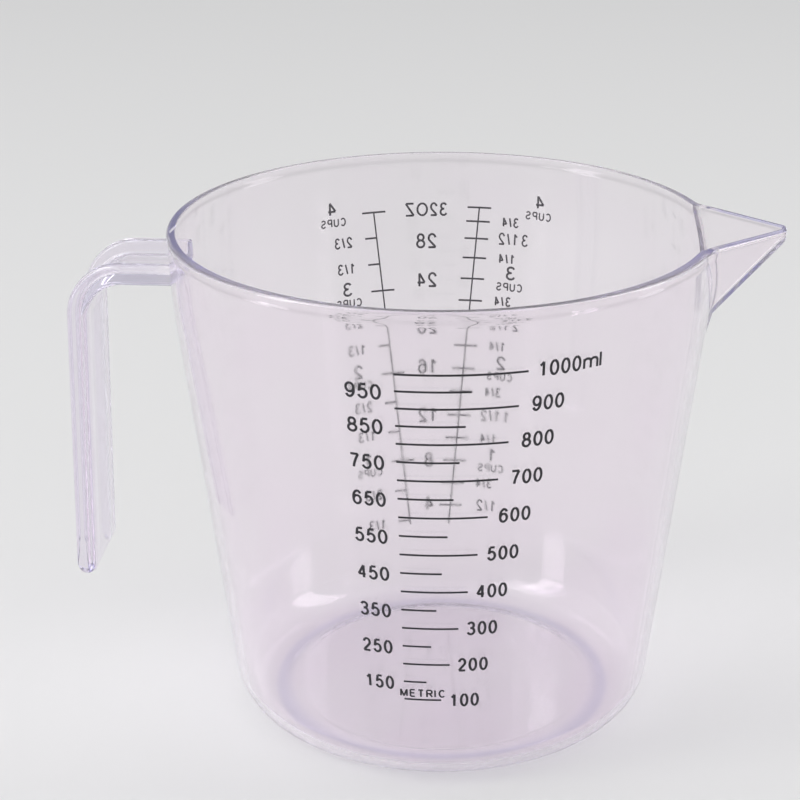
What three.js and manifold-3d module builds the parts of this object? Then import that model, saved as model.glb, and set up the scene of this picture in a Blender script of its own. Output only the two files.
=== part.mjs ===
// Clear moulded one litre measuring cup: tapered cup, recessed base on a standing ring, V-shaped spout,
// open hook handle of channel section, and scales printed on the front and the back.
// Millimetres, +Z up, +X towards the spout, -X towards the handle, the metric scale on the -Y side.

import * as THREE from 'three';
import { ConvexGeometry } from 'three/addons/geometries/ConvexGeometry.js';
import { mergeVertices } from 'three/addons/utils/BufferGeometryUtils.js';
import Module from 'manifold-3d';

// Cup
const CUP_HEIGHT = 121.6;
const RIM_RADIUS = 64;
const RIM_BAND_HEIGHT = 2.3;
const RIM_BAND_PROUD = 0.3;
const COLLAR_HEIGHT = 5;
const COLLAR_BLEND = 16;
const TAPER_DEG = 6.9;
const WALL = 1.8;

// Base
const CORNER_RADIUS = 10.9;
const FOOT_WIDTH = 3.3;
const FOOT_HEIGHT = 0.6;
const FLOOR_RECESS = 1;
const FLOOR_THICKNESS = 1.8;

// Spout
const SPOUT_OVERHANG = 15.8;
const SPOUT_TIP_CUT = 2.5;
const SPOUT_SIDE_DEG = 41.8;
const SPOUT_KEEL_DEG = 48.3;
const SPOUT_WALL = 1.6;

// Handle
const ARM_DROP = 11.1;
const GRIP_STANDOFF = 20.9;
const GRIP_LEAN = 2.1;
const GRIP_FOOT_HEIGHT = 35.7;
const BEND_RADIUS = 10.5;
const RAIL_DEPTH = 5.2;
const RAIL_WIDTH = 3.6;
const RAIL_ROUND = 1.4;
const RAIL_SPACING = 19.1;
const WEB_THICKNESS = 2;

// Printed metric scale on the front, angles from the -Y side towards the spout
const METRIC_TOP_ML = 1000;
const METRIC_FOOT_ML = 100;
const METRIC_STEP_ML = 50;
const METRIC_TOP_DROP = 13.95;
const METRIC_FOOT_HEIGHT = 24.94;
const METRIC_PITCH_RATIO = 0.782;
const METRIC_LEFT_DEG = -5.4;
const LONG_LINE_TOP_DEG = 20.3;
const LONG_LINE_FOOT_DEG = 3.6;
const SHORT_LINE_TOP_DEG = 9.9;
const SHORT_LINE_FOOT_DEG = -0.56;

// Printed cup scales on the back, each a rule with lines across it
const CUPS_MAX = 4;
const BACK_SCALE_DEG = 7.45;
const RULE_TOP_OFFSET = 14.15;
const RULE_FOOT_OFFSET = 5.4;
const RULE_FOOT_HEIGHT = 19.6;
const CUP_LINE_REACH = 3.2;
const THIRDS_TOP_DROP = 15.6;
const THIRDS_FOOT_HEIGHT = 20.81;
const THIRDS_GROWTH_RATIO = 0.0394;
const QUARTERS_TOP_DROP = 14.8;
const QUARTERS_FOOT_HEIGHT = 24.9;
const QUARTERS_PITCH_RATIO = 0.51;

// Ink
const LINE_STROKE = 0.5;
const RULE_STROKE = 0.4;
const INK_THICKNESS = 0.15;
const INK_CLEARANCE = 0.05;

// Fit and facets
const CUT_GAP = 0.3;
const ROUND_SEGMENTS = 72;
const ARC_STEPS = 5;
const RAIL_END_SIDES = 24;
const RAIL_CORNER_STEPS = 2;
const HANDLE_STEPS = 26;
const MERGE_TOLERANCE = 1e-4;

const wasm = await Module();
wasm.setup();

const radians = THREE.MathUtils.degToRad;
const taperAngle = radians(TAPER_DEG);
const taper = Math.tan(taperAngle);
const wallTopRadius = RIM_RADIUS - RIM_BAND_PROUD;
const wallTop = CUP_HEIGHT - RIM_BAND_HEIGHT;
const blendTop = CUP_HEIGHT - COLLAR_HEIGHT;
const blendFoot = blendTop - COLLAR_BLEND;
const floorTop = FLOOR_RECESS + FLOOR_THICKNESS;
const spoutReach = RIM_RADIUS + SPOUT_OVERHANG;
const armHeight = CUP_HEIGHT - ARM_DROP;
const gripTopReach = RIM_RADIUS + GRIP_STANDOFF;
const gripFootReach = gripTopReach + GRIP_LEAN;

// Outside radius of the wall: upright at the collar, easing into the straight taper below it
function outerRadius(z) {
  const eased = THREE.MathUtils.clamp(blendTop - z, 0, COLLAR_BLEND);
  const straight = Math.max(blendFoot - z, 0);
  return wallTopRadius - (taper * eased ** 2) / (2 * COLLAR_BLEND) - taper * straight;
}

const innerRadius = (z) => outerRadius(z) - WALL;

// The base corner is an arc that leaves the taper and meets the standing ring flat on the table.
// Inside, the wall keeps its thickness down to a shallow groove over the ring, round a raised floor.
const footOuter = outerRadius(CORNER_RADIUS) - CORNER_RADIUS / Math.cos(taperAngle);
const footInner = footOuter - FOOT_WIDTH;
const innerCornerRadius = CORNER_RADIUS - WALL;
const baseTop = CORNER_RADIUS;
const innerCornerCentre = innerRadius(baseTop) - innerCornerRadius / Math.cos(taperAngle);

function arc(centreRadius, centreHeight, radius, from, to) {
  const points = [];
  for (let step = 0; step <= ARC_STEPS; step += 1) {
    const angle = from + ((to - from) * step) / ARC_STEPS;
    points.push([centreRadius + radius * Math.cos(angle), centreHeight + radius * Math.sin(angle)]);
  }
  return points;
}

// Solids: closed, outward-facing meshes that can be joined and cut

function signedVolume(positions, triangles) {
  const a = new THREE.Vector3();
  const b = new THREE.Vector3();
  const c = new THREE.Vector3();
  let volume = 0;
  for (let i = 0; i < triangles.length; i += 3) {
    a.fromArray(positions, 3 * triangles[i]);
    b.fromArray(positions, 3 * triangles[i + 1]);
    c.fromArray(positions, 3 * triangles[i + 2]);
    volume += a.dot(b.cross(c)) / 6;
  }
  return volume;
}

function solid(geometry) {
  const bare = geometry.clone();
  bare.deleteAttribute('normal');
  bare.deleteAttribute('uv');
  const merged = mergeVertices(bare, MERGE_TOLERANCE);
  const positions = merged.attributes.position.array;
  const index = merged.index.array;
  const triangles = [];
  for (let i = 0; i < index.length; i += 3) {
    const [a, b, c] = [index[i], index[i + 1], index[i + 2]];
    if (a !== b && b !== c && c !== a) triangles.push(a, b, c);
  }
  if (signedVolume(positions, triangles) < 0) triangles.reverse();
  return new wasm.Manifold(new wasm.Mesh({
    numProp: 3,
    vertProperties: new Float32Array(positions),
    triVerts: new Uint32Array(triangles),
  }));
}

function surface(manifold) {
  const mesh = manifold.getMesh();
  const geometry = new THREE.BufferGeometry();
  geometry.setAttribute('position', new THREE.BufferAttribute(new Float32Array(mesh.vertProperties), 3));
  geometry.setIndex(new THREE.BufferAttribute(new Uint32Array(mesh.triVerts), 1));
  geometry.computeVertexNormals();
  return geometry;
}

// A profile of [radius, height] pairs turned round the cup's axis
function turned(profile) {
  const points = profile.map(([radius, height]) => new THREE.Vector2(radius, height));
  return solid(new THREE.LatheGeometry(points, ROUND_SEGMENTS).rotateX(Math.PI / 2));
}

function box(low, high) {
  const size = high.map((value, axis) => value - low[axis]);
  const centre = high.map((value, axis) => (value + low[axis]) / 2);
  return solid(new THREE.BoxGeometry(...size).translate(...centre));
}

// Cup regions

function wallHeights() {
  const heights = [baseTop];
  for (let step = 0; step <= ARC_STEPS; step += 1) {
    heights.push(blendFoot + (COLLAR_BLEND * step) / ARC_STEPS);
  }
  return [...heights, wallTop];
}

// A skin that follows the wall between two distances from its outside face
function wallSkin(from, to) {
  const heights = wallHeights();
  const inside = heights.map((z) => [outerRadius(z) + from, z]);
  const outside = heights.map((z) => [outerRadius(z) + to, z]).reverse();
  return turned([...inside, ...outside, inside[0]]);
}

// Angle below level at which the standing ring ends and the base pan begins on the corner
const footAngle = Math.asin((CORNER_RADIUS - FOOT_HEIGHT) / CORNER_RADIUS);

function footRing() {
  const corner = arc(footOuter, CORNER_RADIUS, CORNER_RADIUS, -Math.PI / 2, -footAngle);
  return turned([[footInner, 0], ...corner, [footInner, FOOT_HEIGHT], [footInner, 0]]);
}

function basePan() {
  const outside = arc(footOuter, CORNER_RADIUS, CORNER_RADIUS, -footAngle, -taperAngle);
  const inside = arc(innerCornerCentre, baseTop, innerCornerRadius, -taperAngle, -Math.PI / 2);
  return turned([
    [0, FLOOR_RECESS],
    [footInner, FLOOR_RECESS],
    [footInner, FOOT_HEIGHT],
    ...outside,
    [outerRadius(baseTop), baseTop],
    [innerRadius(baseTop), baseTop],
    ...inside,
    [footInner + WALL / 2, WALL],
    [footInner - WALL / 2, floorTop],
    [0, floorTop],
  ]);
}

function rimBand() {
  const inner = wallTopRadius - WALL;
  return turned([
    [inner, wallTop],
    [RIM_RADIUS, wallTop],
    [RIM_RADIUS, CUP_HEIGHT],
    [inner, CUP_HEIGHT],
    [inner, wallTop],
  ]);
}

// Everything inside the cup's outside face, and a clearance round it, to cut what joins the wall
function cupEnvelope(clearance) {
  const wall = wallHeights().map((z) => [outerRadius(z) + clearance, z]);
  const rim = RIM_RADIUS + clearance;
  const above = CUP_HEIGHT + RIM_BAND_HEIGHT;
  const rimFoot = wallTop - clearance;
  const below = [...wall.slice(0, -1), [outerRadius(rimFoot) + clearance, rimFoot]];
  return turned([[0, baseTop], ...below, [rim, rimFoot], [rim, above], [0, above]]);
}

// Spout: a three-sided pyramid lying point outwards, level with the rim on top

const spoutApex = spoutReach + SPOUT_TIP_CUT;
const spoutSide = Math.tan(radians(SPOUT_SIDE_DEG));
const spoutKeel = Math.tan(radians(SPOUT_KEEL_DEG));

function spoutPyramid(apex, above) {
  const depth = apex - RIM_RADIUS / 2;
  const back = apex - depth;
  const points = [
    [apex, 0, CUP_HEIGHT],
    [back, depth * spoutSide, CUP_HEIGHT],
    [back, -depth * spoutSide, CUP_HEIGHT],
    [back, 0, CUP_HEIGHT - depth * spoutKeel],
  ];
  const raised = above > 0 ? points.slice(0, 3).map(([x, y]) => [x, y, CUP_HEIGHT + above]) : [];
  return solid(new ConvexGeometry([...points, ...raised].map((point) => new THREE.Vector3(...point))));
}

// The channel is the same pyramid drawn back until its sides are one spout wall inside
function spoutChannel() {
  const edge = new THREE.Vector3(-1, spoutSide, 0);
  const keel = new THREE.Vector3(-1, 0, -spoutKeel);
  const sideNormal = edge.cross(keel).normalize();
  return spoutPyramid(spoutApex - SPOUT_WALL / Math.abs(sideNormal.x), SPOUT_WALL);
}

function pourSpout(channel) {
  const tipEnd = [spoutApex + SPOUT_WALL, RIM_RADIUS, CUP_HEIGHT + SPOUT_WALL];
  const tip = box([spoutReach, -RIM_RADIUS, 0], tipEnd);
  return spoutPyramid(spoutApex, 0).subtract(channel).subtract(tip).subtract(cupEnvelope(CUT_GAP));
}

// Handle: an arm from under the rim, a round bend and a grip that ends free. Two rails stand outwards
// from the edges of a web, which lies flush with them on the side of the fingers.

function handlePath(across, lengthened) {
  const start = new THREE.Vector3(-wallTopRadius + RAIL_DEPTH, across, armHeight);
  const corner = new THREE.Vector3(-gripTopReach, across, armHeight);
  const end = new THREE.Vector3(-gripFootReach, across, GRIP_FOOT_HEIGHT);
  const down = end.clone().sub(corner).normalize();
  end.addScaledVector(down, lengthened);
  const bendStart = corner.clone().add(new THREE.Vector3(BEND_RADIUS, 0, 0));
  const bendEnd = corner.clone().addScaledVector(down, BEND_RADIUS);
  const roundness = (4 / 3) * (Math.SQRT2 - 1);
  const path = new THREE.CurvePath();
  path.add(new THREE.LineCurve3(start, bendStart));
  path.add(new THREE.CubicBezierCurve3(
    bendStart,
    bendStart.clone().lerp(corner, roundness),
    bendEnd.clone().lerp(corner, roundness),
    bendEnd,
  ));
  path.add(new THREE.LineCurve3(bendEnd, end));
  return path;
}

function swept(section, path) {
  return solid(new THREE.ExtrudeGeometry(section, {
    steps: HANDLE_STEPS,
    curveSegments: RAIL_CORNER_STEPS,
    bevelEnabled: false,
    extrudePath: path,
  }));
}

// A bar section with rounded corners
function railSection() {
  const x = RAIL_DEPTH / 2 - RAIL_ROUND;
  const y = RAIL_WIDTH / 2 - RAIL_ROUND;
  return new THREE.Shape()
    .absarc(x, y, RAIL_ROUND, 0, Math.PI / 2)
    .absarc(-x, y, RAIL_ROUND, Math.PI / 2, Math.PI)
    .absarc(-x, -y, RAIL_ROUND, Math.PI, 1.5 * Math.PI)
    .absarc(x, -y, RAIL_ROUND, 1.5 * Math.PI, 2 * Math.PI);
}

function handleRail(side) {
  const across = (side * RAIL_SPACING) / 2;
  const roundEnd = new THREE.CylinderGeometry(RAIL_DEPTH / 2, RAIL_DEPTH / 2, RAIL_WIDTH, RAIL_END_SIDES)
    .translate(-gripFootReach, across, GRIP_FOOT_HEIGHT);
  return swept(railSection(), handlePath(across, 0)).add(solid(roundEnd)).subtract(cupEnvelope(CUT_GAP));
}

function handleWeb() {
  const halfWidth = (RAIL_SPACING - RAIL_WIDTH) / 2 - CUT_GAP;
  const inner = RAIL_DEPTH / 2;
  const outer = inner - WEB_THICKNESS;
  const section = new THREE.Shape([
    new THREE.Vector2(outer, -halfWidth),
    new THREE.Vector2(inner, -halfWidth),
    new THREE.Vector2(inner, halfWidth),
    new THREE.Vector2(outer, halfWidth),
  ]);
  return swept(section, handlePath(0, WEB_THICKNESS / 2)).subtract(cupEnvelope(CUT_GAP));
}

// Print: each mark is the part of a thin skin on the wall that lies behind its outline

const inkSkin = wallSkin(INK_CLEARANCE, INK_CLEARANCE + INK_THICKNESS);
const metricTop = CUP_HEIGHT - METRIC_TOP_DROP;

// Steps down a scale whose pitch starts at a share of its full width and settles, sooner for a higher haste
function settled(steps, count, firstPitch, haste) {
  const settling = (count / haste) * (1 - (1 - steps / count) ** haste);
  return steps - (1 - firstPitch) * settling;
}

// Height of a metric line: the pitch widens downwards and settles, and the scale fills its span
function metricHeight(ml) {
  const lines = (METRIC_TOP_ML - METRIC_FOOT_ML) / METRIC_STEP_ML;
  const below = (METRIC_TOP_ML - ml) / METRIC_STEP_ML;
  const stretched = (steps) => settled(steps, lines, METRIC_PITCH_RATIO, 4);
  return metricTop - ((metricTop - METRIC_FOOT_HEIGHT) * stretched(below)) / stretched(lines);
}

function metricLine(ml) {
  const height = metricHeight(ml);
  const share = (height - METRIC_FOOT_HEIGHT) / (metricTop - METRIC_FOOT_HEIGHT);
  const long = ml % (2 * METRIC_STEP_ML) === 0;
  const footDeg = long ? LONG_LINE_FOOT_DEG : SHORT_LINE_FOOT_DEG;
  const topDeg = long ? LONG_LINE_TOP_DEG : SHORT_LINE_TOP_DEG;
  const radius = outerRadius(height);
  const left = radius * Math.sin(radians(METRIC_LEFT_DEG));
  const right = radius * Math.sin(radians(THREE.MathUtils.lerp(footDeg, topDeg, share)));
  const half = LINE_STROKE / 2;
  return inkSkin.intersect(box([left, -RIM_RADIUS, height - half], [right, 0, height + half]));
}

const thirds = {
  side: -1,
  parts: 3,
  lowest: 1 / 3,
  oneSided: true,
  top: CUP_HEIGHT - THIRDS_TOP_DROP,
  foot: THIRDS_FOOT_HEIGHT,
  stretched: (down) => down + THIRDS_GROWTH_RATIO * down ** 2,
};

const quarters = {
  side: 1,
  parts: 4,
  lowest: 1 / 2,
  oneSided: false,
  top: CUP_HEIGHT - QUARTERS_TOP_DROP,
  foot: QUARTERS_FOOT_HEIGHT,
  stretched: (down) => settled(down, CUPS_MAX - 1 / 2, QUARTERS_PITCH_RATIO, 6),
};

// A back scale is drawn upright on the +Y side, then turned to its place
function cupScale({ side, parts, lowest, oneSided, top, foot, stretched }) {
  const pitch = (top - foot) / stretched(CUPS_MAX - lowest);
  const heightOf = (cups) => top - pitch * stretched(CUPS_MAX - cups);
  const slope = (RULE_TOP_OFFSET - RULE_FOOT_OFFSET) / (top - RULE_FOOT_HEIGHT);
  const offsetAt = (z) => side * (RULE_FOOT_OFFSET + slope * (z - RULE_FOOT_HEIGHT));
  const ruleFoot = Math.min(RULE_FOOT_HEIGHT, heightOf(lowest));
  const middle = (top + ruleFoot) / 2;
  const lean = Math.atan(slope);
  const length = (top - ruleFoot) / Math.cos(lean);
  const rule = new THREE.BoxGeometry(RULE_STROKE, RIM_RADIUS, length)
    .rotateY(side * lean)
    .translate(offsetAt(middle), RIM_RADIUS / 2, middle);
  let scale = solid(rule);
  for (let mark = Math.round(lowest * parts); mark <= CUPS_MAX * parts; mark += 1) {
    const height = heightOf(mark / parts);
    const whole = mark % parts === 0;
    const outer = offsetAt(height) + side * CUP_LINE_REACH;
    const inner = offsetAt(height) - (whole || !oneSided ? side * CUP_LINE_REACH : 0);
    const low = [Math.min(inner, outer), 0, height - LINE_STROKE / 2];
    const high = [Math.max(inner, outer), RIM_RADIUS, height + LINE_STROKE / 2];
    scale = scale.add(box(low, high));
  }
  return inkSkin.intersect(scale.rotate([0, 0, BACK_SCALE_DEG]));
}

// Assembly

const clear = { color: 0xd9d3e6, roughness: 0.06, metalness: 0, transparent: true, opacity: 0.4 };
const ink = { color: 0x17161c, roughness: 0.45, metalness: 0 };

const cup = new THREE.Group();

function place(name, manifold, look) {
  const mesh = new THREE.Mesh(surface(manifold), new THREE.MeshStandardMaterial(look));
  mesh.name = name;
  cup.add(mesh);
}

const channel = spoutChannel();
place('cup_wall', wallSkin(-WALL, 0).subtract(channel), clear);
place('rim_band', rimBand().subtract(channel), clear);
place('base_pan', basePan(), clear);
place('foot_ring', footRing(), clear);
place('pour_spout', pourSpout(channel), clear);
place('handle_rail_front', handleRail(-1), clear);
place('handle_rail_back', handleRail(1), clear);
place('handle_web', handleWeb(), clear);
for (let ml = METRIC_TOP_ML; ml >= METRIC_FOOT_ML; ml -= METRIC_STEP_ML) {
  place(`metric_line_${ml}`, metricLine(ml), ink);
}
place('cups_scale_thirds', cupScale(thirds), ink);
place('cups_scale_quarters', cupScale(quarters), ink);

// The origin is the middle of the whole part on the table, between the grip and the spout's tip
const gripReach = Math.max(gripTopReach, gripFootReach) + RAIL_DEPTH / 2;
cup.position.x = (gripReach - spoutReach) / 2;

export default cup;
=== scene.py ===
"""Clear moulded measuring cup with printed scales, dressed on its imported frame.

The cup, its spout and its handle are one clear moulding. The metric scale is printed on the front
and the cup and ounce scales on the back. Metres, +Z up, +X towards the spout.
"""

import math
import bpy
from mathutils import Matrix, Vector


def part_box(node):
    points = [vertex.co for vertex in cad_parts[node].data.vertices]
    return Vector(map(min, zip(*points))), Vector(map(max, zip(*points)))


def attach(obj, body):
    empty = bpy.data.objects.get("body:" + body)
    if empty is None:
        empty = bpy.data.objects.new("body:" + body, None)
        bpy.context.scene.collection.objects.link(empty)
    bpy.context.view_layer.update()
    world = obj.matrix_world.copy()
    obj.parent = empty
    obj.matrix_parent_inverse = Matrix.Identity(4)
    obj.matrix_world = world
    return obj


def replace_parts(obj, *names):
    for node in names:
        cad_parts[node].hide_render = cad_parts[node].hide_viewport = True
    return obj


bl_info = {
    "name": "Clear Measuring Cup",
    "version": (1, 0, 0),
    "blender": (4, 5, 0),
    "location": "3D View > Sidebar > Measuring Cup",
    "description": "Builds a clear moulded measuring cup with printed scales",
    "category": "Object",
}

from collections import namedtuple

import bmesh
import bpy
from bpy.props import FloatProperty, FloatVectorProperty, IntProperty, PointerProperty
from mathutils import Matrix, Vector

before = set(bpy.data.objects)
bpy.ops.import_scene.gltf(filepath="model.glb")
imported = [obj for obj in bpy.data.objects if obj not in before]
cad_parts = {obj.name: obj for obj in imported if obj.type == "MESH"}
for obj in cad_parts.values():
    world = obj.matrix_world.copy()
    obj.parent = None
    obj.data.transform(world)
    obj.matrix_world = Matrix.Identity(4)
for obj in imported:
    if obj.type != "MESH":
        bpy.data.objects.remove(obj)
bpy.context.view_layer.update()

MM = 0.001
BODY = "root"

_, rim_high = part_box("rim_band")
ring_low, ring_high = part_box("foot_ring")
_, spout_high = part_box("pour_spout")
CUP_AXIS_X = (ring_low.x + ring_high.x) / 2


def length(name, description, default):
    """A size in metres that can be changed in the panel."""
    return FloatProperty(
        name=name, description=description, default=default, precision=5, unit="LENGTH"
    )


def angle(name, description, degrees):
    """An angle that can be changed in the panel."""
    return FloatProperty(
        name=name, description=description, default=math.radians(degrees), unit="ROTATION"
    )


def colour(name, description, default):
    """A linear colour that can be changed in the panel."""
    return FloatVectorProperty(
        name=name, description=description, default=default, size=4, min=0, max=1,
        subtype="COLOR",
    )


class CupSizes(bpy.types.PropertyGroup):
    """Sizes of the clear moulding"""

    height: length("Height", "Table to the top of the rim", rim_high.z)
    rim_radius: length("Rim radius", "Outside of the rim band", rim_high.y)
    band_height: length("Band height", "Height of the rim band", 2.3 * MM)
    band_proud: length("Band proud", "How far the rim band stands out of the wall", 0.3 * MM)
    collar_height: length("Collar height", "Upright length under the rim", 5 * MM)
    collar_blend: length("Collar blend", "Height over which the wall turns to its taper", 16 * MM)
    taper: angle("Taper", "Lean of the wall", 6.9)
    wall: length("Wall", "Thickness of the wall", 1.8 * MM)
    corner_radius: length("Corner radius", "Outside radius of the base corner", 10.9 * MM)
    foot_width: length("Foot width", "Width of the standing ring", 3.3 * MM)
    floor_recess: length("Floor recess", "Underside of the floor above the table", 1 * MM)
    floor_thickness: length("Floor thickness", "Thickness of the floor", 1.8 * MM)
    rim_outer_round: length("Rim outer round", "Rounding of the rim's outer edge", 0.9 * MM)
    rim_inner_round: length("Rim inner round", "Rounding of the rim's inner edge", 0.2 * MM)
    band_blend: length("Band blend", "Height over which the band eases into the wall", 1.6 * MM)
    outer_crease: length("Outer crease", "Softening where the spout leaves the wall outside", 1.5 * MM)
    inner_crease: length("Inner crease", "Softening where the spout leaves the wall inside", 0.2 * MM)
    keel_round: length("Keel round", "Rounding of the keel", 0.3 * MM)
    channel_round: length("Channel round", "Rounding at the bottom of the channel", 0.3 * MM)
    ring_ease: length("Ring ease", "How far the ring and its groove ease into the floor", 1.6 * MM)
    ring_flat: length("Ring flat", "Width of the standing ring that touches the table", 0.4 * MM)
    spout_reach: length("Spout reach", "Cup axis to the spout tip", spout_high.x - CUP_AXIS_X)
    spout_tip_cut: length("Spout tip cut", "Length cut off the point of the spout", 2.5 * MM)
    spout_side: angle("Spout side", "Angle between a spout side and the middle", 41.8)
    spout_keel: angle("Spout keel", "Drop of the keel below level", 48.3)
    spout_wall: length("Spout wall", "Thickness of the spout", 1.6 * MM)
    spout_lip: length("Spout lip", "Upright height of the spout's edge", 0.7 * MM)
    arm_height: length("Arm height", "Middle of the handle's arm", 110.5 * MM)
    grip_top_reach: length("Grip top reach", "Cup axis to the grip at the arm", 84.9 * MM)
    grip_foot_reach: length("Grip foot reach", "Cup axis to the foot of the grip", 87 * MM)
    grip_foot_height: length("Grip foot height", "Foot of the grip above the table", 35.7 * MM)
    bend_length: length("Bend length", "Corner of the handle to the end of its bend", 10.5 * MM)
    rail_depth: length("Rail depth", "Thickness of a handle rail in the handle's plane", 5.2 * MM)
    rail_width: length("Rail width", "Thickness of a handle rail across the handle", 3.6 * MM)
    rail_spacing: length("Rail spacing", "Between the middles of the rails", 19.1 * MM)
    web_thickness: length("Web thickness", "Thickness of the web between the rails", 2 * MM)
    web_fillet: length("Web fillet", "Rounding between the web and the rails", 1.8 * MM)
    handle_round: length("Handle round", "Rounding of the handle's outer edges", 1.4 * MM)
    channel_edge: length("Channel edge", "Rounding of the rails beside the channel", 1.26 * MM)
    spout_sector: angle("Spout sector", "Half the turn that is built in fine steps", 24)
    spout_steps: IntProperty(
        name="Spout steps", description="Fine steps across the spout", default=168, min=24
    )
    round_steps: IntProperty(
        name="Round steps", description="Steps in the rest of the turn", default=192, min=48
    )


class PrintSizes(bpy.types.PropertyGroup):
    """Sizes of the printed scales"""

    ink: length("Ink", "Thickness of the printed ink", 0.06 * MM)
    line_pen: length("Line pen", "Stroke of the printed lines", 0.5 * MM)
    rule_pen: length("Rule pen", "Stroke of the upright rules", 0.4 * MM)
    metric_top: length("Metric top", "Height of the top metric line", 107.65 * MM)
    metric_foot: length("Metric foot", "Height of the lowest metric line", 24.94 * MM)
    metric_number: length("Metric number", "Height of the metric numbers", 3.75 * MM)
    metric_pen: length("Metric pen", "Stroke of the metric numbers", 0.6 * MM)
    metric_gap: length("Metric gap", "Between a metric line and its number", 2.2 * MM)
    cup_line_reach: length("Cup line reach", "Half length of a cup line", 3.2 * MM)
    back_turn: angle("Back turn", "Turn of the back scales from the middle of the back", 7.45)


class CupColours(bpy.types.PropertyGroup):
    """Colours of the cup and of its stage"""

    clear: colour("Clear", "Tint of the clear plastic", (1.0, 0.967, 0.988, 1))
    hazed: colour("Hazed", "Tint of the clear plastic where it is hazed", (1.0, 0.9525, 0.988, 1))
    # Edge: painted violet shade, strongest at the spout's edge and fainter at the ring and handle, where
    # thick plastic looks dark
    edge: colour("Edge", "Tint of the spout's edge, fainter at the ring and handle", (0.5, 0.5, 0.82, 1))
    depth: colour("Depth", "What is left of light through thick plastic", (0.16, 0.13, 0.72, 1))
    density: FloatProperty(
        name="Density", description="How soon thick plastic takes up light", default=7.0, min=0
    )
    shade: colour("Shade", "Lamp light that the plastic lets through", (0.93, 0.925, 0.935, 1))
    ink: colour("Ink", "Printed ink", (0.012, 0.011, 0.014, 1))
    thin_ink: colour("Thin ink", "Printed ink where it is thin", (0.0288, 0.0264, 0.0364, 1))
    floor: colour("Floor", "Floor of the studio", (0.76, 0.76, 0.76, 1))
    sky: colour("Sky", "Even light from all round", (0.6, 0.6, 0.605, 1))


def sizes():
    """The moulding's sizes."""
    return bpy.context.scene.measuring_cup_sizes


def print_sizes():
    """The printed scales' sizes."""
    return bpy.context.scene.measuring_cup_print


def colours():
    """The colours of the cup and its stage."""
    return bpy.context.scene.measuring_cup_colours


# Shapes of the cup

FLOOR_SHARES = (0.25, 0.5, 0.75)
RING_STEPS = 12
WALL_STEPS = 12
BASE_CORNER_STEPS = 20
BAND_STEPS = 6
SECTION_CORNER_STEPS = 12
HANDLE_END_STEPS = 8
HANDLE_END_BLUNTNESS = 0.6
SHARP_EDGE_DEGREES = 32

# The arcs at the mouth and at the handle's end stop short of a quarter turn
SHORT_QUARTER = math.radians(84)

# The rim band is gone where the spout stands this far off the wall
BAND_FADE = 2 * MM


def wall_radius(height):
    """Outside radius of the wall: upright at the collar, then easing into the straight taper."""
    s = sizes()
    blend_top = s.height - s.collar_height
    bending = min(max(blend_top - height, 0), s.collar_blend)
    straight = max(blend_top - s.collar_blend - height, 0)
    lean = math.tan(s.taper)
    return s.rim_radius - s.band_proud - lean * (bending**2 / (2 * s.collar_blend) + straight)


class ProfilePen:
    """Draws a profile in the XZ plane by moving one point."""

    def __init__(self, bm, radius, height):
        self.bm = bm
        self.tip = bm.verts.new((radius, 0, height))

    def line_to(self, radius, height):
        made = bmesh.ops.extrude_vert_indiv(self.bm, verts=[self.tip])
        self.tip = made["verts"][0]
        self.tip.co = (radius, 0, height)

    def turn_about(self, radius, height, turn, steps):
        made = bmesh.ops.spin(
            self.bm, geom=[self.tip], cent=(radius, 0, height), axis=(0, -1, 0),
            angle=turn, steps=steps, use_duplicate=False,
        )
        self.tip = next(v for v in made["geom_last"] if isinstance(v, bmesh.types.BMVert))


def turned(bm):
    """Turns the drawn profile round the cup's axis into a closed solid, finely across the spout."""
    s = sizes()
    profile = bm.verts[:] + bm.edges[:]
    bmesh.ops.rotate(
        bm, verts=bm.verts[:], cent=(0, 0, 0), matrix=Matrix.Rotation(-s.spout_sector, 3, "Z")
    )
    for sweep, steps in (
        (2 * s.spout_sector, s.spout_steps),
        (2 * math.pi - 2 * s.spout_sector, s.round_steps),
    ):
        made = bmesh.ops.spin(
            bm, geom=profile, cent=(0, 0, 0), axis=(0, 0, 1), angle=sweep, steps=steps,
            use_duplicate=False,
        )
        profile = made["geom_last"]
    bmesh.ops.remove_doubles(bm, verts=bm.verts[:], dist=1e-6)
    bmesh.ops.recalc_face_normals(bm, faces=bm.faces[:])


def soft_max(first, second, softness):
    """The larger of two lengths, with the change from one to the other rounded."""
    near = max(softness - abs(first - second), 0) / softness
    return max(first, second) + near**2 * softness / 4


def spout_radius(polar, height, drawn_in):
    """Distance from the cup's axis to a side of the spout, or of its channel where drawn in."""
    s = sizes()
    side = math.tan(s.spout_side)
    apex = s.spout_reach + s.spout_tip_cut - drawn_in
    level = apex - max(s.height - s.spout_lip - height, 0) / math.tan(s.spout_keel)
    ridge = (s.channel_round if drawn_in else s.keel_round) / s.spout_reach
    reach = side * level / (math.hypot(math.sin(polar), ridge) + side * math.cos(polar))
    if drawn_in:
        return reach
    return -soft_max(-reach, -s.spout_reach / math.cos(polar), 2 * s.keel_round)


def channel_draw_in():
    """How far the channel's point lies behind the spout's, for an even spout wall."""
    s = sizes()
    edge = Vector((-1, math.tan(s.spout_side), 0))
    keel = Vector((-1, 0, -math.tan(s.spout_keel)))
    return s.spout_wall / abs(edge.cross(keel).normalized().x)


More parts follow.
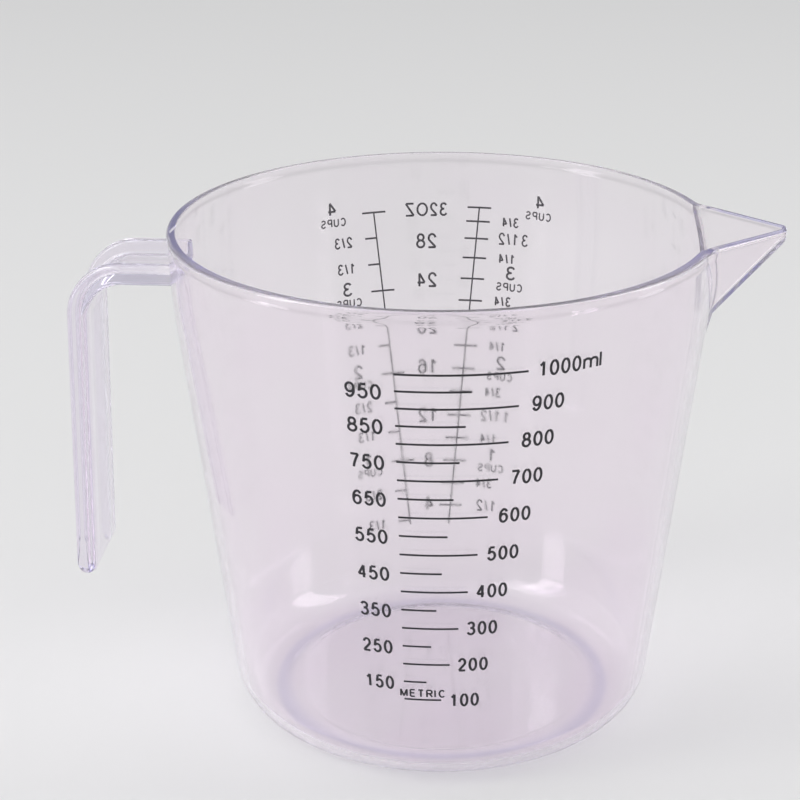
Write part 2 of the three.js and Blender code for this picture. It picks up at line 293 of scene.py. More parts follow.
def draw_out_spout(bm, thickness, drawn_in):
    """Pushes the turned wall outwards until it follows the spout, one thickness inside its face."""
    s = sizes()
    for vert in bm.verts:
        polar = math.atan2(vert.co.y, vert.co.x)
        radius = math.hypot(vert.co.x, vert.co.y)
        height = min(vert.co.z, s.height)
        wall = wall_radius(height) - thickness
        if abs(polar) > s.spout_sector or radius < wall - s.corner_radius / 2:
            continue
        crease = s.inner_crease if drawn_in else s.outer_crease
        target = soft_max(wall, spout_radius(polar, height, drawn_in), crease)
        plain = min((target - wall) / BAND_FADE, 1)
        proud = radius - wall
        drawn = target + proud * (1 - plain)
        vert.co.x = drawn * math.cos(polar)
        vert.co.y = drawn * math.sin(polar)


def heights_between(low, high, steps):
    """Heights between two ends, without the first."""
    return [low + (high - low) * step / steps for step in range(1, steps + 1)]


def eased(share):
    """A share from nought to one that starts and ends level."""
    return share * share * (3 - 2 * share)


def ring_edges():
    """Inner and outer radius of the standing ring."""
    s = sizes()
    outer = wall_radius(s.corner_radius) - s.corner_radius / math.cos(s.taper)
    return outer - s.foot_width, outer


def draw_floor(pen, floor, ring):
    """Draws a face of the floor out from the axis, easing from its own height to the ring's."""
    s = sizes()
    inner, outer = ring_edges()
    for share in FLOOR_SHARES:
        pen.line_to(inner * share, floor)
    start = inner - s.ring_ease
    end = outer - s.ring_flat
    for step in range(RING_STEPS + 1):
        share = step / RING_STEPS
        pen.line_to(start + (end - start) * share, floor + (ring - floor) * eased(share))


def draw_wall(pen, low, high, thickness, spout_steps):
    """Draws the wall upwards, one thickness inside its face, in finer steps along the spout."""
    s = sizes()
    spout_foot = s.height - s.collar_height - s.collar_blend
    below = heights_between(low, spout_foot, WALL_STEPS)
    for height in below + heights_between(spout_foot, high, spout_steps):
        pen.line_to(wall_radius(height) - thickness, height)


def cup_outside(bm):
    """The outside of the cup and its spout, closed flat across the mouth."""
    s = sizes()
    _, foot_outer = ring_edges()
    corner_top = s.corner_radius * (1 - math.sin(s.taper))
    band_foot = s.height - s.band_height - s.band_blend / 2
    pen = ProfilePen(bm, 0, s.floor_recess)
    draw_floor(pen, s.floor_recess, 0)
    pen.line_to(foot_outer, 0)
    pen.turn_about(foot_outer, s.corner_radius, math.pi / 2 - s.taper, BASE_CORNER_STEPS)
    draw_wall(pen, corner_top, band_foot, 0, 34)
    for step in range(1, BAND_STEPS + 1):
        share = step / BAND_STEPS
        height = band_foot + s.band_blend * share
        pen.line_to(wall_radius(height) + s.band_proud * eased(share), height)
    pen.line_to(s.rim_radius, s.height - s.rim_outer_round)
    lip = s.rim_radius - s.rim_outer_round
    pen.turn_about(lip, s.height - s.rim_outer_round, math.pi / 2, 8)
    pen.line_to(s.rim_radius / 2, s.height)
    pen.line_to(0, s.height)
    turned(bm)
    draw_out_spout(bm, 0, 0)


def cup_inside(bm):
    """The room inside the cup and its spout, open above the rim."""
    s = sizes()
    floor_top = s.floor_recess + s.floor_thickness
    corner = s.corner_radius - s.wall
    corner_centre = wall_radius(s.corner_radius) - s.wall - corner / math.cos(s.taper)
    corner_top = s.corner_radius - corner * math.sin(s.taper)
    lip_height = s.height - s.rim_inner_round
    lip = wall_radius(s.height) - s.wall + s.rim_inner_round
    pen = ProfilePen(bm, 0, floor_top)
    draw_floor(pen, floor_top, s.wall)
    pen.line_to(corner_centre, s.wall)
    pen.turn_about(corner_centre, s.corner_radius, math.pi / 2 - s.taper, BASE_CORNER_STEPS)
    draw_wall(pen, corner_top, lip_height, s.wall, 38)
    pen.turn_about(lip, lip_height, -SHORT_QUARTER, 6)
    pen.line_to(pen.tip.co.x, s.height + s.band_height)
    pen.line_to(0, s.height + s.band_height)
    turned(bm)
    draw_out_spout(bm, s.wall, channel_draw_in())


def handle_section(bm):
    """The handle's channel section as one flat face: two rails joined by a web on the fingers' side.

    X runs away from the fingers and Y across the handle. Each corner has its place, its rounding
    and the angles in degrees at which its arc starts and ends.
    """
    s = sizes()
    outer_edge = (s.rail_spacing + s.rail_width) / 2
    inner_edge = (s.rail_spacing - s.rail_width) / 2
    top = s.rail_depth / 2
    bottom = -top
    web_top = bottom + s.web_thickness
    corners = [
        (bottom, outer_edge, s.handle_round, 180, 90),
        (top, outer_edge, s.handle_round, 90, 0),
        (top, inner_edge, s.channel_edge, 0, -90),
        (web_top, inner_edge, s.web_fillet, 90, 180),
        (web_top, -inner_edge, s.web_fillet, 180, 270),
        (top, -inner_edge, s.channel_edge, 90, 0),
        (top, -outer_edge, s.handle_round, 0, -90),
        (bottom, -outer_edge, s.handle_round, -90, -180),
    ]
    outline = []
    for x, y, radius, start, end in corners:
        middle = math.radians((start + end) / 2)
        reach = math.sqrt(2) * radius
        centre = Vector((x - reach * math.cos(middle), y - reach * math.sin(middle), 0))
        for step in range(SECTION_CORNER_STEPS + 1):
            turn = math.radians(start + (end - start) * step / SECTION_CORNER_STEPS)
            arm = Vector((radius * math.cos(turn), radius * math.sin(turn), 0))
            outline.append(bm.verts.new(centre + arm))
    edges = [bm.edges.new((outline[i - 1], outline[i])) for i in range(len(outline))]
    return bmesh.ops.contextual_create(bm, geom=edges)["faces"][0]


def handle(bm):
    """Sweeps the section from inside the wall along the arm, round the bend and down the grip."""
    s = sizes()
    corner = Vector((-s.grip_top_reach, 0, s.arm_height))
    foot = Vector((-s.grip_foot_reach, 0, s.grip_foot_height))
    down = (foot - corner).normalized()
    turn = Vector((-1, 0, 0)).angle(down)
    bend_radius = s.bend_length / math.tan(turn / 2)
    start = Vector((-s.rim_radius + 4 * s.wall, 0, s.arm_height))
    bend_start = corner + Vector((s.bend_length, 0, 0))
    bend_end = corner + down * s.bend_length
    face = handle_section(bm)
    place = Matrix.Translation(start) @ Matrix.Rotation(-math.pi / 2, 4, "Y")
    bmesh.ops.transform(bm, matrix=place, verts=bm.verts[:])
    face = pushed(bm, face, bend_start - start, 4)
    bent = bmesh.ops.spin(
        bm, geom=[face], cent=bend_start - Vector((0, 0, bend_radius)), axis=(0, -1, 0),
        angle=turn, steps=24, use_duplicate=False,
    )
    face = next(f for f in bent["geom_last"] if isinstance(f, bmesh.types.BMFace))
    face = pushed(bm, face, foot - bend_end, 8)
    rounded_end(bm, face, down)
    inner_faces = [f for f in bm.faces if all(len(e.link_faces) > 2 for e in f.edges)]
    bmesh.ops.delete(bm, geom=inner_faces, context="FACES_ONLY")
    bmesh.ops.recalc_face_normals(bm, faces=bm.faces[:])


def pushed(bm, face, travel, steps):
    """Extrudes a face along a straight line in equal steps and returns the face at its end."""
    for _ in range(steps):
        made = bmesh.ops.extrude_face_region(bm, geom=[face])
        verts = [v for v in made["geom"] if isinstance(v, bmesh.types.BMVert)]
        bmesh.ops.translate(bm, vec=travel / steps, verts=verts)
        face = next(f for f in made["geom"] if isinstance(f, bmesh.types.BMFace))
    return face


def rounded_end(bm, face, down):
    """Rounds the free end: the section is pushed on in steps that draw in to a blunt half circle."""
    s = sizes()
    radius = s.rail_depth / 2
    middle = Vector((-s.grip_foot_reach, 0, s.grip_foot_height))
    out = Vector((0, 1, 0)).cross(down).normalized()
    turns = [SHORT_QUARTER * step / HANDLE_END_STEPS for step in range(HANDLE_END_STEPS + 1)]
    for before, after in zip(turns, turns[1:]):
        face = pushed(bm, face, down * radius * (math.sin(after) - math.sin(before)), 1)
        squeeze = (math.cos(after) / math.cos(before)) ** HANDLE_END_BLUNTNESS
        for vert in face.verts:
            depth = (vert.co - middle).dot(out)
            vert.co -= out * depth * (1 - squeeze)


def solid(name, draw):
    """A mesh object drawn by one of the shapes above."""
    bm = bmesh.new()
    draw(bm)
    mesh = bpy.data.meshes.new(name)
    bm.to_mesh(mesh)
    bm.free()
    made = bpy.data.objects.new(name, mesh)
    bpy.context.scene.collection.objects.link(made)
    return made


def combine(target, operation, tool):
    """Joins a solid to the target or cuts it away, and removes the tool."""
    modifier = target.modifiers.new("combine", "BOOLEAN")
    modifier.operation = operation
    modifier.object = tool
    modifier.solver = "EXACT"
    bpy.context.view_layer.update()
    shown = target.evaluated_get(bpy.context.evaluated_depsgraph_get())
    mesh = bpy.data.meshes.new_from_object(shown)
    target.modifiers.clear()
    target.data = mesh
    bpy.data.objects.remove(tool)


def shade_by_angle(mesh, degrees):
    """Smooth shading with the edges sharper than an angle kept crisp."""
    bm = bmesh.new()
    bm.from_mesh(mesh)
    bmesh.ops.remove_doubles(bm, verts=bm.verts[:], dist=1e-6)
    bmesh.ops.dissolve_degenerate(bm, dist=1e-6, edges=bm.edges[:])
    for face in bm.faces:
        face.smooth = True
    for edge in bm.edges:
        edge.smooth = edge.calc_face_angle(0) < math.radians(degrees)
    bm.to_mesh(mesh)
    bm.free()


# Lettering

Lettering = namedtuple("Lettering", "height pen width spacing")

METRIC_WORD = Lettering(2.25 * MM, 0.42 * MM, 1.23 * MM, 0.4 * MM)
CUP_NUMBER = Lettering(3.8 * MM, 0.58 * MM, 2.7 * MM, 0.4 * MM)
CUP_WORD = Lettering(2.3 * MM, 0.4 * MM, 1.26 * MM, 0.34 * MM)
OUNCE_WORD = Lettering(3.75 * MM, 0.54 * MM, 2.15 * MM, 0.45 * MM)
OUNCE_NUMBER = Lettering(4.1 * MM, 0.58 * MM, 2.53 * MM, 0.5 * MM)
FRACTION_PEN = 0.46 * MM
FRACTION_WIDTH_RATIO = 0.56
FRACTION_SPACING_RATIO = 0.12
METRIC_SPACING = 0.4 * MM
CUP_WORD_DROP = 3.75 * MM
INK_LIFT = 0.01 * MM

# Pen moves of each character in a box one unit wide and one unit high. A pair is a point, and six
# numbers are an arc: centre, half width, half height, start and end in degrees.
GLYPHS = {
    "0": [[(0.5, 0.5, 0.5, 0.5, 90, 450)]],
    "1": [[(0.16, 0.74), (0.4, 0.84), (0.62, 1)], [(0.62, 1), (0.62, 0)]],
    "2": [[(0.49, 0.7, 0.46, 0.3, 172, -28), (0.62, 0.38), (0.24, 0.17), (0.02, 0)], [(0, 0), (1, 0)]],
    "3": [[(0.47, 0.765, 0.43, 0.235, 160, -90), (0.36, 0.53)],
          [(0.4, 0.53), (0.48, 0.53), (0.48, 0.265, 0.5, 0.265, 90, -162)]],
    "4": [[(0.74, 0), (0.74, 1)], [(0.74, 1), (0, 0.29)], [(0, 0.29), (1, 0.29)]],
    "5": [[(0.9, 1), (0.22, 1)], [(0.22, 1), (0.08, 0.47)],
          [(0.08, 0.47), (0.47, 0.325, 0.5, 0.325, 140, -162)]],
    "6": [[(0.52, 0.74, 0.42, 0.26, 12, 90), (0.56, 0.5, 0.55, 0.5, 95, 180), (0.02, 0.34)],
          [(0.5, 0.32, 0.48, 0.32, 90, 450)]],
    "7": [[(0, 1), (1, 1)], [(0.98, 1), (0.64, 0.58), (0.46, 0.28), (0.36, 0)]],
    "8": [[(0.5, 0.76, 0.4, 0.24, 90, 450)], [(0.5, 0.265, 0.5, 0.265, 90, 450)]],
    "9": [[(0.48, 0.26, 0.42, 0.26, 192, 270), (0.44, 0.5, 0.55, 0.5, 275, 360), (0.98, 0.66)],
          [(0.5, 0.68, 0.48, 0.32, 90, 450)]],
    "/": [[(0.1, 0), (0.9, 1)]],
    "m": [[(0, 0), (0, 0.72)], [(0, 0.52), (0.25, 0.5, 0.25, 0.2, 170, 10), (0.5, 0.42), (0.5, 0)],
          [(0.5, 0.5), (0.75, 0.5, 0.25, 0.2, 170, 10), (1, 0.42), (1, 0)]],
    "l": [[(0.5, 0), (0.5, 1)]],
    "C": [[(0.52, 0.5, 0.52, 0.5, 42, 318)]],
    "E": [[(0, 0), (0, 1)], [(0, 1), (1, 1)], [(0, 0.52), (0.92, 0.52)], [(0, 0), (1, 0)]],
    "I": [[(0.5, 0), (0.5, 1)]],
    "M": [[(0, 0), (0, 1)], [(0, 1), (0.5, 0)], [(0.5, 0), (1, 1)], [(1, 1), (1, 0)]],
    "O": [[(0.5, 0.5, 0.5, 0.5, 90, 450)]],
    "P": [[(0, 0), (0, 1)], [(0, 1), (0.62, 1), (0.62, 0.73, 0.36, 0.27, 90, -90), (0, 0.46)]],
    "R": [[(0, 0), (0, 1)], [(0, 1), (0.62, 1), (0.62, 0.75, 0.34, 0.25, 90, -90), (0, 0.5)],
          [(0.52, 0.48), (1, 0)]],
    "S": [[(0.5, 0.76, 0.44, 0.24, 20, 260), (0.52, 0.25, 0.46, 0.26, 80, -165)]],
    "T": [[(0, 1), (1, 1)], [(0.5, 1), (0.5, 0)]],
    "U": [[(0, 1), (0.5, 0.36, 0.5, 0.36, 180, 360), (1, 1)]],
    "Z": [[(0.02, 1), (1, 1)], [(1, 1), (0, 0)], [(0, 0), (1, 0)]],
}

# Widths of the characters that are wider or narrower than a digit
GLYPH_WIDTHS = {
    "/": 0.62, "m": 1.75, "l": 0.1, "C": 1.3, "E": 1.15, "I": 0.1, "M": 1.45, "O": 1.45,
    "P": 1.2, "R": 1.3, "S": 1.2, "T": 1.25, "U": 1.25, "Z": 1.25,
}

ARC_POINT_DEGREES = 18


def pen_points(moves):
    """Points of a pen stroke, with its arcs drawn out."""
    points = []
    for move in moves:
        if len(move) == 2:
            points.append(Vector(move))
            continue
        x, y, half_width, half_height, start, end = move
        steps = max(2, round(abs(end - start) / ARC_POINT_DEGREES))
        for step in range(steps + 1):
            turn = math.radians(start + (end - start) * step / steps)
            points.append(Vector((x + half_width * math.cos(turn), y + half_height * math.sin(turn))))
    return points


def lettered(text, style):
    """Pen strokes of a line of text that starts at zero and is centred on its height, and its length."""
    pen = style.pen
    strokes = []
    start = 0
    for character in text:
        width = style.width * GLYPH_WIDTHS.get(character, 1)
        if character != " ":
            corner = Vector((start + pen / 2, (pen - style.height) / 2))
            room = Vector((width - pen, style.height - pen))
            for moves in GLYPHS[character]:
                strokes.append([corner + point * room for point in pen_points(moves)])
        start += (0 if character == " " else max(width, pen)) + style.spacing
    return strokes, start - style.spacing


def ink_strokes(strokes, pen, ink):
    """A flat printed mesh that follows pen strokes."""
    curve = bpy.data.curves.new("pen", "CURVE")
    curve.dimensions = "3D"
    curve.bevel_depth = pen / 2
    curve.bevel_resolution = 1
    curve.use_fill_caps = True
    for points in strokes:
        spline = curve.splines.new("POLY")
        spline.points.add(len(points) - 1)
        for knot, point in zip(spline.points, points):
            knot.co = (point.x, point.y, 0, 1)
    pen_object = bpy.data.objects.new("pen", curve)
    bpy.context.scene.collection.objects.link(pen_object)
    bpy.context.view_layer.update()
    shown = pen_object.evaluated_get(bpy.context.evaluated_depsgraph_get())
    mesh = bpy.data.meshes.new_from_object(shown)
    bpy.data.objects.remove(pen_object)
    bpy.data.curves.remove(curve)
    flatten = Matrix.Diagonal((1, 1, ink / pen, 1))
    mesh.transform(flatten)
    return mesh


class Print:
    """A printed piece: flat marks are laid on the wall one by one."""

    def __init__(self):
        self.bm = bmesh.new()

    def lay(self, strokes, pen, turn, height):
        """Lays strokes on the wall; turn is a polar angle, or gives one for a height."""
        mesh = ink_strokes(strokes, pen, print_sizes().ink)
        flat = bmesh.new()
        flat.from_mesh(mesh)
        turn_at = turn if callable(turn) else lambda _: turn
        for vert in flat.verts:
            level = height + vert.co.y
            wall = wall_radius(level)
            polar = turn_at(level) + vert.co.x / wall
            out = wall + INK_LIFT + vert.co.z
            vert.co = (out * math.cos(polar), out * math.sin(polar), level)
        flat.to_mesh(mesh)
        flat.free()
        self.bm.from_mesh(mesh)
        bpy.data.meshes.remove(mesh)

    def line(self, start, end, height, pen):
        """A level line between two polar angles."""
        reach = (end - start) * wall_radius(height)
        steps = max(2, round(reach / MM))
        points = [Vector((reach * step / steps, 0)) for step in range(steps + 1)]
        self.lay([points], pen, start, height)

    def text(self, text, style, middle, height):
        """A line of text centred on a polar angle and a height."""
        strokes, reach = lettered(text, style)
        self.lay(strokes, style.pen, middle - reach / 2 / wall_radius(height), height)

    def piece(self, name):
        """The finished mesh object, set on the cup's axis."""
        bmesh.ops.translate(self.bm, vec=(CUP_AXIS_X, 0, 0), verts=self.bm.verts[:])
        bmesh.ops.remove_doubles(self.bm, verts=self.bm.verts[:], dist=1e-7)
        bmesh.ops.recalc_face_normals(self.bm, faces=self.bm.faces[:])
        mesh = bpy.data.meshes.new(name)
        self.bm.to_mesh(mesh)
        self.bm.free()
        mesh.shade_smooth()
        made = bpy.data.objects.new(name, mesh)
        bpy.context.scene.collection.objects.link(made)
        mesh.materials.append(ink_material())
        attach(made, BODY)
        return made


# Materials

def node(tree, kind, **values):
    """A new node with some of its settings."""
    made = tree.nodes.new(kind)
    for name, value in values.items():
        setattr(made, name, value)
    return made


def ranged(tree, source, low, high, from_low=0.35, from_high=0.65):
    """A value that runs from low to high while its source runs over a range of its own."""
    made = node(tree, "ShaderNodeMapRange")
    made.inputs["From Min"].default_value = from_low
    made.inputs["From Max"].default_value = from_high
    made.inputs["To Min"].default_value = low
    made.inputs["To Max"].default_value = high
    tree.links.new(source, made.inputs["Value"])
    return made.outputs["Result"]


def combined(tree, operation, first, second):
    """Two values put together by a sum of the named kind."""
    made = node(tree, "ShaderNodeMath", operation=operation)
    tree.links.new(first, made.inputs[0])
    tree.links.new(second, made.inputs[1])
    return made.outputs["Value"]


def moulding_marks():
    """Shader group: faint flow waves, handling haze and fine rub marks of a moulded surface."""
    found = bpy.data.node_groups.get("moulding_marks")
    if found:
        return found
    group = bpy.data.node_groups.new("moulding_marks", "ShaderNodeTree")
    for name, default in (("Wave Scale", 60.0), ("Haze Scale", 35.0), ("Rub Scale", 900.0)):
        socket = group.interface.new_socket(name, in_out="INPUT", socket_type="NodeSocketFloat")
        socket.default_value = default
    for name in ("Waves", "Haze", "Rub"):
        group.interface.new_socket(name, in_out="OUTPUT", socket_type="NodeSocketFloat")
    inside = node(group, "NodeGroupInput")
    outside = node(group, "NodeGroupOutput")
    place = node(group, "ShaderNodeTexCoord")
    link = group.links.new

    waves = node(group, "ShaderNodeTexNoise")
    waves.inputs["Detail"].default_value = 1.0
    link(place.outputs["Object"], waves.inputs["Vector"])
    link(inside.outputs["Wave Scale"], waves.inputs["Scale"])
    link(waves.outputs["Fac"], outside.inputs["Waves"])

    haze = node(group, "ShaderNodeTexNoise")
    haze.inputs["Detail"].default_value = 4.0
    haze.inputs["Distortion"].default_value = 0.6
    link(place.outputs["Object"], haze.inputs["Vector"])
    link(inside.outputs["Haze Scale"], haze.inputs["Scale"])
    link(haze.outputs["Fac"], outside.inputs["Haze"])

    stretch = node(group, "ShaderNodeMapping")
    stretch.inputs["Scale"].default_value = (1, 1, 0.08)
    stretch.inputs["Rotation"].default_value = (0.4, 0.7, 0.2)
    rub = node(group, "ShaderNodeTexNoise")
    rub.inputs["Detail"].default_value = 2.0
    link(place.outputs["Object"], stretch.inputs["Vector"])
    link(stretch.outputs["Vector"], rub.inputs["Vector"])
    link(inside.outputs["Rub Scale"], rub.inputs["Scale"])
    link(rub.outputs["Fac"], outside.inputs["Rub"])
    return group


def thick_edges():
    """Shader group: mask of the painted violet shade at the spout's edge, the ring and the handle, where
    thick plastic looks dark.
    """
    found = bpy.data.node_groups.get("thick_edges")
    if found:
        return found
    s = sizes()
    group = bpy.data.node_groups.new("thick_edges", "ShaderNodeTree")
    for name, default in (("Ring Shade Share", 0.25), ("Handle Shade Share", 0.1)):
        socket = group.interface.new_socket(name, in_out="INPUT", socket_type="NodeSocketFloat")
        socket.default_value = default
    group.interface.new_socket("Edge", in_out="OUTPUT", socket_type="NodeSocketFloat")
    inside = node(group, "NodeGroupInput")
    outside = node(group, "NodeGroupOutput")
    place = node(group, "ShaderNodeTexCoord")
    parts = node(group, "ShaderNodeSeparateXYZ")
    link = group.links.new
    link(place.outputs["Object"], parts.inputs["Vector"])

    def product(first, second):
        return combined(group, "MULTIPLY", first, second)

    # Painted shade along the top of the spout's edge
    rim_reach = CUP_AXIS_X + s.rim_radius
    top = ranged(group, parts.outputs["Z"], 0, 1, s.height - 0.1 * MM, s.height - 0.02 * MM)
    spout = ranged(group, parts.outputs["X"], 0, 1, rim_reach - 1 * MM, rim_reach + 1.5 * MM)
    spout_edge_shade = product(top, spout)

    centred = node(group, "ShaderNodeMapping")
    centred.inputs["Location"].default_value = (-CUP_AXIS_X, 0, 0)
    centred.inputs["Scale"].default_value = (1, 1, 0)
    radius = node(group, "ShaderNodeVectorMath", operation="LENGTH")
    link(place.outputs["Object"], centred.inputs["Vector"])
    link(centred.outputs["Vector"], radius.inputs[0])
    # Painted shade over the standing ring
    ring_inner, ring_outer = ring_edges()
    low = ranged(group, parts.outputs["Z"], 1, 0, s.wall + 1 * MM, s.wall + 2 * MM)
    rise = ranged(group, radius.outputs["Value"], 0, 1, ring_inner - 0.4 * MM, ring_inner + 2.6 * MM)
    fall = ranged(group, radius.outputs["Value"], 1, 0, ring_outer + 0.6 * MM, ring_outer + 1.6 * MM)
    ring = product(product(rise, fall), product(low, inside.outputs["Ring Shade Share"]))

    # Painted shade on the handle, outside the wall
    wall_reach = CUP_AXIS_X - s.rim_radius
    behind = ranged(group, parts.outputs["X"], 1, 0, wall_reach - 3 * MM, wall_reach)
    grip = product(behind, inside.outputs["Handle Shade Share"])
    edge = combined(group, "MAXIMUM", combined(group, "MAXIMUM", spout_edge_shade, ring), grip)
    link(edge, outside.inputs["Edge"])
    return group


def clear_plastic_material():
    """Clear moulded plastic with a faint lavender tint, stronger through thick plastic, and painted
    violet shade at the spout's edge, the ring and the handle.
    """
    found = bpy.data.materials.get("moulded_clear_plastic")
    if found:
        return found
    c = colours()
    material = bpy.data.materials.new("moulded_clear_plastic")
    material.use_nodes = True
    tree = material.node_tree
    tree.nodes.clear()
    link = tree.links.new
    output = node(tree, "ShaderNodeOutputMaterial")
    marks = node(tree, "ShaderNodeGroup", node_tree=moulding_marks())

    plastic = node(tree, "ShaderNodeBsdfPrincipled")
    plastic.inputs["IOR"].default_value = 1.57
    plastic.inputs["Transmission Weight"].default_value = 0.97
    tint = node(tree, "ShaderNodeMix", data_type="RGBA")
    tint.inputs["A"].default_value = c.clear
    tint.inputs["B"].default_value = c.hazed
    link(ranged(tree, marks.outputs["Haze"], 0, 1), tint.inputs["Factor"])
    # Painted violet shade: the edge colour is mixed into the tint where the mask is set
    edges = node(tree, "ShaderNodeGroup", node_tree=thick_edges())
    painted_edge_mix = node(tree, "ShaderNodeMix", data_type="RGBA")
    painted_edge_mix.inputs["B"].default_value = c.edge
    link(edges.outputs["Edge"], painted_edge_mix.inputs["Factor"])
    link(tint.outputs["Result"], painted_edge_mix.inputs["A"])
    link(painted_edge_mix.outputs["Result"], plastic.inputs["Base Color"])
    link(ranged(tree, marks.outputs["Rub"], 0.02, 0.06), plastic.inputs["Roughness"])
    bump = node(tree, "ShaderNodeBump")
    bump.inputs["Strength"].default_value = 0.02
    bump.inputs["Distance"].default_value = 0.0006
    link(marks.outputs["Waves"], bump.inputs["Height"])
    link(bump.outputs["Normal"], plastic.inputs["Normal"])

    lamps = node(tree, "ShaderNodeBsdfTransparent")
    lamps.inputs["Color"].default_value = c.shade
    path = node(tree, "ShaderNodeLightPath")
    shown = node(tree, "ShaderNodeMixShader")
    link(path.outputs["Is Shadow Ray"], shown.inputs["Fac"])
    link(plastic.outputs["BSDF"], shown.inputs[1])
    link(lamps.outputs["BSDF"], shown.inputs[2])
    link(shown.outputs["Shader"], output.inputs["Surface"])

    depth = node(tree, "ShaderNodeVolumeAbsorption")
    depth.inputs["Color"].default_value = c.depth
    depth.inputs["Density"].default_value = c.density
    link(depth.outputs["Volume"], output.inputs["Volume"])
    return material


def ink_material():
    """Satin black printed ink, a little uneven in its cover."""
    found = bpy.data.materials.get("satin_print_ink")
    if found:
        return found
    c = colours()
    material = bpy.data.materials.new("satin_print_ink")
    material.use_nodes = True
    tree = material.node_tree
    link = tree.links.new
    ink = tree.nodes["Principled BSDF"]
    marks = node(tree, "ShaderNodeGroup", node_tree=moulding_marks())
    marks.inputs["Haze Scale"].default_value = 700.0
    marks.inputs["Rub Scale"].default_value = 2500.0
    cover = node(tree, "ShaderNodeMix", data_type="RGBA")
    cover.inputs["A"].default_value = c.ink
    cover.inputs["B"].default_value = c.thin_ink
    link(ranged(tree, marks.outputs["Haze"], 0, 1), cover.inputs["Factor"])
    link(cover.outputs["Result"], ink.inputs["Base Color"])
    link(ranged(tree, marks.outputs["Rub"], 0.38, 0.55), ink.inputs["Roughness"])
    return material


def floor_material():
    """Plain pale floor."""
    material = bpy.data.materials.new("pale_floor")
    material.use_nodes = True
    floor = material.node_tree.nodes["Principled BSDF"]
    floor.inputs["Base Color"].default_value = colours().floor
    floor.inputs["Roughness"].default_value = 0.9
    floor.inputs["Specular IOR Level"].default_value = 0.1
    return material


# Places of the printed marks

METRIC_LEFT = math.radians(-95.4)
LONG_LINE_ENDS = (math.radians(-86.4), math.radians(-69.7))
SHORT_LINE_ENDS = (math.radians(-90.56), math.radians(-80.1))
METRIC_PITCH_RATIO = 0.782
BACK_MIDDLE = math.radians(97.5)
OUNCE_TOP = 106.15 * MM


def metric_height(ml):
    """Height of a metric line: the pitch widens downwards and settles."""
    p = print_sizes()
    below = (1000 - ml) / 50
    settling = 4.5 * (1 - (1 - below / 18) ** 4)
    narrowing = 1 - METRIC_PITCH_RATIO
    pitch = (p.metric_top - p.metric_foot) / (18 - narrowing * 4.5)
    return p.metric_top - pitch * (below - narrowing * settling)


def metric_end(ml):
    """Polar angle of the right end of a metric line."""
    p = print_sizes()
    share = (metric_height(ml) - p.metric_foot) / (p.metric_top - p.metric_foot)
    foot, top = LONG_LINE_ENDS if ml % 100 == 0 else SHORT_LINE_ENDS
    return foot + (top - foot) * share


def thirds_stretch(down):
    """How the pitch of the thirds widens with the cups below the top."""
    return down + 0.0394 * down**2


def quarters_stretch(down):
    """How the pitch of the quarters widens and settles with the cups below the top."""
    return down - 0.49 * 3.5 / 6 * (1 - (1 - down / 3.5) ** 6)


class CupScale:
    """Lay-out of one printed cup scale on the back: an upright rule with lines across it."""

    RULE_FOOT = 19.6 * MM
    RULE_STEPS = 60
    FOOT_OFFSET = 5.4 * MM
    TOP_OFFSET = 14.15 * MM

    def __init__(self, side, parts, lowest, top, foot, stretch):
        self.side = side
        self.parts = parts
        self.lowest = lowest
        self.top = top
        self.foot = foot
        self.stretch = stretch

    def height(self, cups):
        """Height of the line for a number of cups."""
        share = self.stretch(4 - cups) / self.stretch(4 - self.lowest)
        return self.top - (self.top - self.foot) * share

    def offset(self, height):
        """Distance of the rule from the middle of the back scales."""
        share = (height - self.RULE_FOOT) / (self.top - self.RULE_FOOT)
        return self.FOOT_OFFSET + (self.TOP_OFFSET - self.FOOT_OFFSET) * share

    def polar(self, height, outwards=0.0):
        """Polar angle at some distance outside the rule."""
        wall = wall_radius(height)
        away = math.asin(self.offset(height) / wall) + outwards / wall
        return math.pi / 2 + print_sizes().back_turn - self.side * away

    def draw(self, ink, one_sided):
        """Prints the rule and its lines, those of part cups on one side only where asked."""
        p = print_sizes()
        foot = min(self.RULE_FOOT, self.height(self.lowest))
        rise = (self.top - foot) / self.RULE_STEPS
        points = [Vector((0, rise * step)) for step in range(self.RULE_STEPS + 1)]
        ink.lay([points], p.rule_pen, self.polar, foot)
        for mark in range(round(self.lowest * self.parts), 4 * self.parts + 1):
            height = self.height(mark / self.parts)
            inner = 0 if one_sided and mark % self.parts else -p.cup_line_reach
            ends = sorted((self.polar(height, inner), self.polar(height, p.cup_line_reach)))
            ink.line(ends[0], ends[1], height, p.line_pen)


# Operators

class MEASURING_CUP_OT_moulding(bpy.types.Operator):
    """Builds the clear cup with its spout and handle as one moulding"""

    bl_idname = "measuring_cup.moulding"
    bl_label = "Clear moulding"

    def execute(self, context):
        cup = solid("cup_moulding", cup_outside)
        combine(cup, "UNION", solid("handle", handle))
        combine(cup, "DIFFERENCE", solid("inside", cup_inside))
        cup.data.transform(Matrix.Translation((CUP_AXIS_X, 0, 0)))
        shade_by_angle(cup.data, SHARP_EDGE_DEGREES)
        cup.data.materials.clear()
        cup.data.materials.append(clear_plastic_material())
        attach(cup, BODY)
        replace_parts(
            cup, "cup_wall", "rim_band", "base_pan", "foot_ring", "pour_spout",
            "handle_rail_front", "handle_rail_back", "handle_web",
        )
        return {"FINISHED"}


